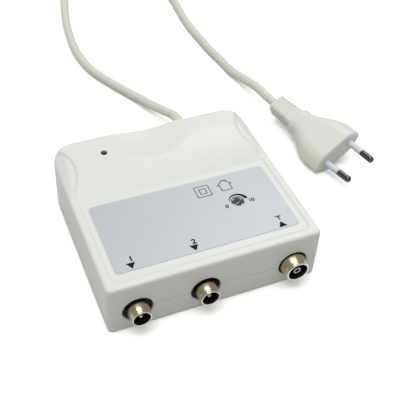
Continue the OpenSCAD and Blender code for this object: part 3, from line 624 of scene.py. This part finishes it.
class AMPLIFIER_OT_connectors(bpy.types.Operator):
    """Turn the sleeves, insulators and contacts of the three connectors"""

    bl_idname = "amplifier.connectors"
    bl_label = "Connectors"

    def execute(self, context):
        look = context.scene.amplifier_metal
        # Darkened, olive nickel: the plating's colour plus a painted reflection of dark surroundings.
        nickel = plated("nickel", tuple(look.nickel), rough=0.17, spread=0.20)
        bright = plated("painted_highlight_nickel", tuple(look.bright), rough=0.10, spread=0.03)
        # Pins and contacts: duller nickel, darkened as a painted reflection of the dark bore.
        dull = plated("dull_nickel_dark_reflection", tuple(look.dull), rough=0.28, spread=0.05)
        black = moulded("black_insulator", (0.010, 0.010, 0.011), rough=0.45,
                        grain=0.2 * MM, depth=0.006 * MM)
        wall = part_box("top_cover")[0].y
        for port, middle, lip, rim, bore, root in CONNECTORS:
            low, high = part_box(port + "_shell")
            back = Vector(((low.x + high.x) / 2, high.y, (low.z + high.z) / 2))
            profile = self.sleeve(lip, rim, bore, root, (high.y - wall) / MM, (high.y - low.y) / MM)
            piece = turned(profile, back, (0, -1, 0))
            smooth(piece, degrees=40)
            finish_piece(piece, port + "_sleeve", CASE, "nickel", nickel, port + "_shell")
            piece.data.materials.append(black)
            piece.data.materials.append(bright)
            for face in piece.data.polygons:
                across = Vector((face.center.x - back.x, 0, face.center.z - back.z)).length
                # The sleeve's bore, and its root and flange behind the front wall, are painted black as the
                # shade inside the hole.
                if across < (rim - 0.02) * MM or face.center.y > wall:
                    face.material_index = 1
                # The front of the lip takes the lighter nickel: a painted highlight.
                elif face.center.y - low.y < LIP_HIGHLIGHT_DEPTH * MM:
                    face.material_index = 2
            for part, finish, slot in (("insulator", black, "black_insulator"), (middle, dull, "nickel")):
                node = port + "_" + part
                piece = eased_copy(node, width=0.12 * MM)
                finish_piece(piece, node + "_fitted", CASE, slot, finish, node)
        return {"FINISHED"}

    def sleeve(self, r, rim, bore, root, wall, long):
        """Profile of a sleeve: flange, root through the wall, cone, neck, rolled lip and bore."""
        neck = r - NECK_DEPTH
        thick = (r - rim) / 2
        floor = long - BORE_DEPTH
        bead = [(r - thick + thick * math.cos(a), long - BEAD_R + BEAD_R * math.sin(a))
                for a in (math.radians(d) for d in range(-60, 91, 15))]
        return [(SPIGOT_R, 0), (FLANGE_R, 0), (FLANGE_R, FLANGE_T), (root, FLANGE_T),
                (root, wall), (root - 0.05, wall + 0.4), (r + 0.1, long - 2.6), (r - 0.05, long - 2.1),
                (neck, long - 1.5), (neck, long - 0.9), *bead, (rim, long - 0.15), (bore, long - 1.0),
                (bore, floor), (SPIGOT_R, floor), (SPIGOT_R, 0)]


# Cross slot of the spindle: its turn in degrees, and the half widths between which its brightness fades
SLOT_TURN = 35
SLOT_HALF = 0.36 * MM
SLOT_EDGE = 0.50 * MM


class AMPLIFIER_OT_trimmer(bpy.types.Operator):
    """Finish the gain spindle"""

    bl_idname = "amplifier.trimmer"
    bl_label = "Gain spindle"

    def execute(self, context):
        middle = middle_of("gain_rotor")
        turn = math.radians(SLOT_TURN)
        dark = Finish("dark_rotor")
        point = dark.outputs("ShaderNodeSeparateXYZ", dark.place)
        x = point["X"] - middle.x
        y = point["Y"] - middle.y
        u = x * math.cos(turn) + y * math.sin(turn)
        v = y * math.cos(turn) - x * math.sin(turn)
        cut = u.size().lower(v.size()).ease(SLOT_HALF, SLOT_EDGE, 1.0, 0.0)
        worn = dark.noise(spacing=0.5 * MM, detail=3)
        dark.set(Base_Color=dark.mix(cut * (worn * 0.4 + 0.7), (0.014, 0.020, 0.017), (0.60, 0.61, 0.59)),
                 Metallic=cut * 0.6, Roughness=worn * 0.2 + 0.30)
        dark.bump(worn, depth=0.01 * MM, strength=0.6)
        piece = eased_copy("gain_rotor", width=0.14 * MM)
        finish_piece(piece, "spindle", SPINDLE, "dark_rotor", dark.material, "gain_rotor")
        return {"FINISHED"}


class AMPLIFIER_OT_lamp(bpy.types.Operator):
    """Finish the pilot lamp"""

    bl_idname = "amplifier.lamp"
    bl_label = "Lamp"

    def execute(self, context):
        green = moulded("green_lamp", (0.006, 0.030, 0.011), rough=0.16,
                        grain=0.6 * MM, depth=0.001 * MM, mottle=0.12)
        piece = eased_copy("led_lamp", width=0.08 * MM)
        finish_piece(piece, "lamp", CASE, "green_lamp", green, "led_lamp")
        return {"FINISHED"}


# Coil: its middle and the gap between its turns, in millimetres, and the degrees between its points
COIL_AT = (46, 288, 0)
COIL_GAP = 0.6
COIL_STEP = 15

# Where the turns rise over the tie: the tie's place in degrees, the rise and its spread to each side
TIE_ANGLE = 270
TIE_LIFT = 1.3
TIE_SPREAD = 70


def ease(x):
    """Runs smoothly from 0 to 1 as x does, and stays there."""
    c = max(0.0, min(1.0, x))
    return c * c * (3 - 2 * c)


def coil_points(look):
    """The coil's centreline: in on the lower layer, up at the inner turn, and out above."""
    d = look.diameter
    pitch = d + COIL_GAP * MM
    sweep = 360 * look.turns
    outer = look.coil_d / 2 + pitch * look.turns / 4

    def point(a):
        r = outer - pitch * min(a, sweep - a) / 360
        lift = TIE_LIFT * MM * ease(1 - abs(a % 360 - TIE_ANGLE) / TIE_SPREAD)
        z = d / 2 + pitch * ease((a - sweep / 2 + 90) / 180) + lift
        t = math.radians(a)
        return Vector(COIL_AT) * MM + Vector((-r * math.cos(t), r * math.sin(t), z))

    loops = [point(k * COIL_STEP) for k in range(int(sweep / COIL_STEP) + 1)]
    step = Vector((0, d, 0))
    return [loops[0] - step, *loops, loops[-1] - step]


# Routes from the boot to the coil and from the coil to the plug, in millimetres
LEAD_ROUTE = (
    (27.6, 81, 11), (26.3, 87, 9.1), (24.5, 93, 7.3), (22.5, 99, 5.8), (20.5, 104, 4.8), (16.8, 113, 3.8),
    (12.5, 122, 3.1), (8, 131, 2.8), (3, 141, 2.8), (-2, 153, 2.8), (-5, 167, 2.8), (-6, 182, 2.8),
    (-5, 198, 2.8), (-3, 214, 2.8), (0, 230, 2.8), (4, 247, 2.8), (7, 262, 2.8),
)
TAIL_ROUTE = (
    (84, 267, 8.2), (84, 257, 6.4), (83, 246, 4.4), (82, 235, 3.1), (82, 223, 2.8), (81, 209, 2.8),
    (80, 194, 2.8), (80, 179, 2.8), (81, 164, 2.8), (82, 150, 2.8), (84, 137, 2.8), (85, 125, 3.1),
    (87, 114, 4.4), (88.2, 104, 6.6), (89.4, 94, 8.8),
)

# The plug: the middle of its face and its length, in millimetres, and its turn in degrees
PLUG_FACE = (105.9, 17.9, 9.983)
PLUG_LENGTH = 54.5
PLUG_TURN = 14


class AMPLIFIER_OT_lead(bpy.types.Operator):
    """Lay the mains lead from the boot through its coil to the plug"""

    bl_idname = "amplifier.lead"
    bl_label = "Lead"

    def execute(self, context):
        look = context.scene.amplifier_lead
        vinyl = moulded("lead_vinyl", tuple(look.vinyl), rough=0.40, grain=0.5 * MM, depth=0.012 * MM)
        low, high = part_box("cord_gland")
        step = Vector((0, look.diameter, 0))
        start = Vector(((low.x + high.x) / 2, high.y, (low.z + high.z) / 2))
        turn = math.radians(PLUG_TURN)
        back = Vector((-math.sin(turn), math.cos(turn), 0))
        end = Vector(PLUG_FACE) * MM + PLUG_LENGTH * MM * back
        coil = coil_points(look)
        points = [start, start + step, *(Vector(p) * MM for p in LEAD_ROUTE), coil[0] - step, *coil,
                  coil[-1] - step, *(Vector(p) * MM for p in TAIL_ROUTE), end + look.diameter * back, end]
        lead = self.curve(points, look.diameter)
        finish_piece(lead, "lead", CASE, "lead_vinyl", vinyl, "cord_lead", "cord_coil", "cord_tail")
        boot = eased_copy("cord_gland", width=0.2 * MM)
        finish_piece(boot, "boot", CASE, "lead_vinyl", vinyl, "cord_gland")
        tie = eased_copy("coil_tie", width=0.3 * MM)
        black = moulded("tie_wire", (0.03, 0.03, 0.03), rough=0.5, grain=0.3 * MM, depth=0.01 * MM)
        finish_piece(tie, "tie", CASE, "tie_wire", black, "coil_tie")
        long = sum((b - a).length for a, b in zip(points, points[1:]))
        return {"FINISHED"}

    def curve(self, points, diameter):
        """A round cord on one smooth curve through the points."""
        bpy.ops.object.select_all(action="DESELECT")
        bpy.ops.curve.primitive_bezier_curve_add(location=(0, 0, 0))
        lead = bpy.context.object
        lead.data.splines.clear()
        spline = lead.data.splines.new("BEZIER")
        spline.bezier_points.add(len(points) - 1)
        for knot, p in zip(spline.bezier_points, points):
            knot.co = p
            knot.handle_left_type = knot.handle_right_type = "AUTO"
        lead.data.dimensions = "3D"
        lead.data.resolution_u = 4
        lead.data.bevel_depth = diameter / 2
        lead.data.bevel_resolution = 4
        lead.data.use_fill_caps = True
        return lead


class AMPLIFIER_OT_plug(bpy.types.Operator):
    """Finish the plug, its pins and their sleeves"""

    bl_idname = "amplifier.plug"
    bl_label = "Plug"

    def execute(self, context):
        look = context.scene.amplifier_lead
        bare = context.scene.amplifier_metal.dark_nickel
        vinyl = moulded("plug_vinyl", tuple(look.plug), rough=0.36, grain=0.4 * MM, depth=0.008 * MM)
        # Nearly black nickel on the pins: a painted dark reflection.
        metal = plated("dark_nickel", tuple(bare), rough=0.14, spread=0.06,
                       Coat_Weight=0.6, Coat_Roughness=0.06)
        sleeve = moulded("pin_sleeve", (0.70, 0.74, 0.82), rough=0.28, grain=0.4 * MM, depth=0.004 * MM)
        plug = soft_copy("plug_body", grid=0.3 * MM, rounds=3, keep=0.5)
        finish_piece(plug, "plug", CASE, "plug_vinyl", vinyl, "plug_body")
        for node, name, finish, slot in (("plug_pins", "pins", metal, "dark_nickel"),
                                         ("pin_sleeves", "sleeves", sleeve, "pin_sleeve")):
            piece = eased_copy(node, width=0.1 * MM, degrees=24, segments=3)
            finish_piece(piece, name, CASE, slot, finish, node)
        return {"FINISHED"}


# Small parts in the case: the solid, its finish, colour and roughness, and the spacing and depth of its
# grain in millimetres
SMALL_PARTS = (
    ("trimmer_body", "trimmer_plastic", (0.05, 0.13, 0.36), 0.4, 0.3, 0.006),
    ("led_spacer", "spacer_plastic", (0.70, 0.68, 0.60), 0.5, 0.3, 0.006),
    ("transformer_winding", "winding_tape", (0.62, 0.45, 0.06), 0.42, 0.4, 0.008),
    ("supply_capacitors", "capacitor_sleeve", (0.02, 0.025, 0.09), 0.22, 0.5, 0.004),
    ("film_capacitor", "film_case", (0.62, 0.50, 0.05), 0.28, 0.4, 0.005),
    ("fuse_resistor", "resistor_body", (0.50, 0.42, 0.28), 0.5, 0.3, 0.008),
    ("control_chip", "chip_body", (0.018, 0.018, 0.02), 0.55, 0.2, 0.006),
    ("supply_wires", "wire_sleeve", (0.22, 0.08, 0.035), 0.4, 0.4, 0.006),
)


class AMPLIFIER_OT_inside(bpy.types.Operator):
    """Finish what the case hides: board, shield and supply parts"""

    bl_idname = "amplifier.inside"
    bl_label = "Inside"

    def execute(self, context):
        tin = plated("tinplate", (0.66, 0.66, 0.64), rough=0.35, spread=0.06)
        for node in ("shield_frame", "shield_lid"):
            self.dress(node, tin)
        ferrite = moulded("ferrite", (0.07, 0.07, 0.075), rough=0.6, grain=0.2 * MM, depth=0.01 * MM)
        for node in ("splitter_core", "transformer_core"):
            self.dress(node, ferrite)
        board = moulded("green_board", (0.03, 0.16, 0.06), rough=0.35,
                        grain=0.3 * MM, depth=0.008 * MM, mottle=0.12)
        self.dress("circuit_board", board)
        for node, name, base, rough, grain, depth in SMALL_PARTS:
            self.dress(node, moulded(name, base, rough, grain * MM, depth * MM))
        return {"FINISHED"}

    def dress(self, node, finish):
        """Gives a solid its finish and leaves its shape as it is."""
        solid = frame["nodes"][node]
        solid.data.materials.clear()
        solid.data.materials.append(finish)


# Lamps: name, place, side in metres and watts, and the point that they all face
LAMPS = (
    ("top_lamp", (-0.02, -0.04, 1.1), 0.8, 4.4),
    ("right_lamp", (0.70, 0.90, 1.36), 0.5, 4.4),
    ("left_lamp", (-0.52, 0.05, 1.35), 0.5, 1.9),
)
LAMP_AIM = (0.02, 0.02, 0)

# Strength of the sky at the horizon and overhead, and the height at which it is full
SKY_LOW = 0.38
SKY_HIGH = 0.46
SKY_FULL = 0.8

# Floor: its side and its place just under the object, in metres, and its grey in reflections
FLOOR_SIDE = 6
FLOOR_Z = -0.0002
FLOOR_MIRRORED = 0.95

# Camera: the width of its sensor in millimetres, and the nearest that it sees in metres
SENSOR = 36
NEAREST = 0.01


def softbox(name, place, side, watts):
    """A square lamp that faces the object."""
    bpy.ops.object.select_all(action="DESELECT")
    bpy.ops.object.light_add(type="AREA", location=place)
    lamp = bpy.context.object
    lamp.name = name
    lamp.data.shape = "RECTANGLE"
    lamp.data.size = side
    lamp.data.size_y = side
    lamp.data.energy = watts
    lamp.rotation_euler = (Vector(LAMP_AIM) - Vector(place)).to_track_quat("-Z", "Y").to_euler()


class AMPLIFIER_OT_stage(bpy.types.Operator):
    """Set the floor, the lamps and the camera"""

    bl_idname = "amplifier.stage"
    bl_label = "Stage"

    def execute(self, context):
        look = context.scene.amplifier_stage
        self.camera(context.scene, look)
        self.floor(look)
        self.world(context.scene)
        for lamp in LAMPS:
            softbox(*lamp)
        context.scene.view_settings.view_transform = "Standard"
        return {"FINISHED"}

    def camera(self, scene, look):
        """A camera at the eye, turned by the three angles of the look."""
        bpy.ops.object.camera_add(location=look.eye)
        camera = bpy.context.object
        a, e, q = (math.radians(v) for v in (look.azimuth, look.elevation, look.roll))
        ahead = -Vector((math.sin(a) * math.cos(e), -math.cos(a) * math.cos(e), math.sin(e)))
        right = ahead.cross(Vector((0, 0, 1))).normalized()
        down = ahead.cross(right)
        across = right * math.cos(q) + down * math.sin(q)
        fall = -right * math.sin(q) + down * math.cos(q)
        turn = Matrix((across, -fall, -ahead)).transposed()
        camera.rotation_euler = turn.to_euler()
        camera.data.sensor_width = SENSOR
        camera.data.lens = look.focal
        camera.data.clip_start = NEAREST
        scene.camera = camera

    def floor(self, look):
        """A pale floor that the camera and reflections see as white, and that keeps the shadow."""
        bpy.ops.object.select_all(action="DESELECT")
        bpy.ops.mesh.primitive_plane_add(size=FLOOR_SIDE, location=(0, 0, FLOOR_Z))
        floor = bpy.context.object
        floor.name = "floor"
        paper = Finish("paper")
        paper.set(Base_Color=(*look.floor, 1), Roughness=0.9, Specular_IOR_Level=0.0)
        path = paper.outputs("ShaderNodeLightPath")
        reflected = path["Is Glossy Ray"].higher(path["Is Transmission Ray"])
        plain = Value(paper, paper.shader.outputs[0])
        mirrored = paper.node("ShaderNodeBsdfDiffuse", {}, (*[FLOOR_MIRRORED] * 3, 1))
        white = paper.node("ShaderNodeBsdfDiffuse", {}, (*[look.glare] * 3, 1))
        bounced = paper.node("ShaderNodeMixShader", {}, reflected, plain, mirrored)
        shown = paper.node("ShaderNodeMixShader", {}, path["Is Camera Ray"], bounced, white)
        paper.feed(paper.tree.nodes["Material Output"].inputs[0], shown)
        floor.data.materials.append(paper.material)

    def world(self, scene):
        """A pale sky that dims towards the horizon."""
        scene.world = bpy.data.worlds.new("studio")
        scene.world.use_nodes = True
        sky = Graph(scene.world.node_tree)
        way = sky.node("ShaderNodeTexCoord", {}, out="Generated")
        height = sky.outputs("ShaderNodeSeparateXYZ", way)["Z"]
        backdrop = sky.tree.nodes["Background"]
        sky.feed(backdrop.inputs["Color"], (1, 1, 1, 1))
        sky.feed(backdrop.inputs["Strength"], height.ease(0.0, SKY_FULL, SKY_LOW, SKY_HIGH))


class AMPLIFIER_PT_panel(bpy.types.Panel):
    """The pieces of the amplifier, in the order in which they are made"""

    bl_idname = "AMPLIFIER_PT_panel"
    bl_label = "Aerial amplifier"
    bl_space_type = "VIEW_3D"
    bl_region_type = "UI"
    bl_category = "Amplifier"

    def draw(self, context):
        for name, group in LOOKS.items():
            box = self.layout.box()
            for key in group.__annotations__:
                box.prop(getattr(context.scene, name), key)
        for piece in OPERATORS:
            self.layout.operator(piece.bl_idname)


LOOKS = {
    "amplifier_case": CaseLook, "amplifier_label": LabelLook, "amplifier_metal": MetalLook,
    "amplifier_lead": LeadLook, "amplifier_stage": StageLook,
}
OPERATORS = (
    AMPLIFIER_OT_stage, AMPLIFIER_OT_plug, AMPLIFIER_OT_lead, AMPLIFIER_OT_case, AMPLIFIER_OT_screws,
    AMPLIFIER_OT_label, AMPLIFIER_OT_connectors, AMPLIFIER_OT_trimmer, AMPLIFIER_OT_lamp, AMPLIFIER_OT_inside,
)


def register():
    for made in (*LOOKS.values(), *OPERATORS, AMPLIFIER_PT_panel):
        bpy.utils.register_class(made)
    for name, group in LOOKS.items():
        setattr(bpy.types.Scene, name, PointerProperty(type=group))


def unregister():
    for name in LOOKS:
        delattr(bpy.types.Scene, name)
    for made in reversed((*LOOKS.values(), *OPERATORS, AMPLIFIER_PT_panel)):
        bpy.utils.unregister_class(made)


def main():
    register()
    for piece in OPERATORS:
        group, name = piece.bl_idname.split(".")
        getattr(getattr(bpy.ops, group), name)()


if __name__ == "__main__":
    main()
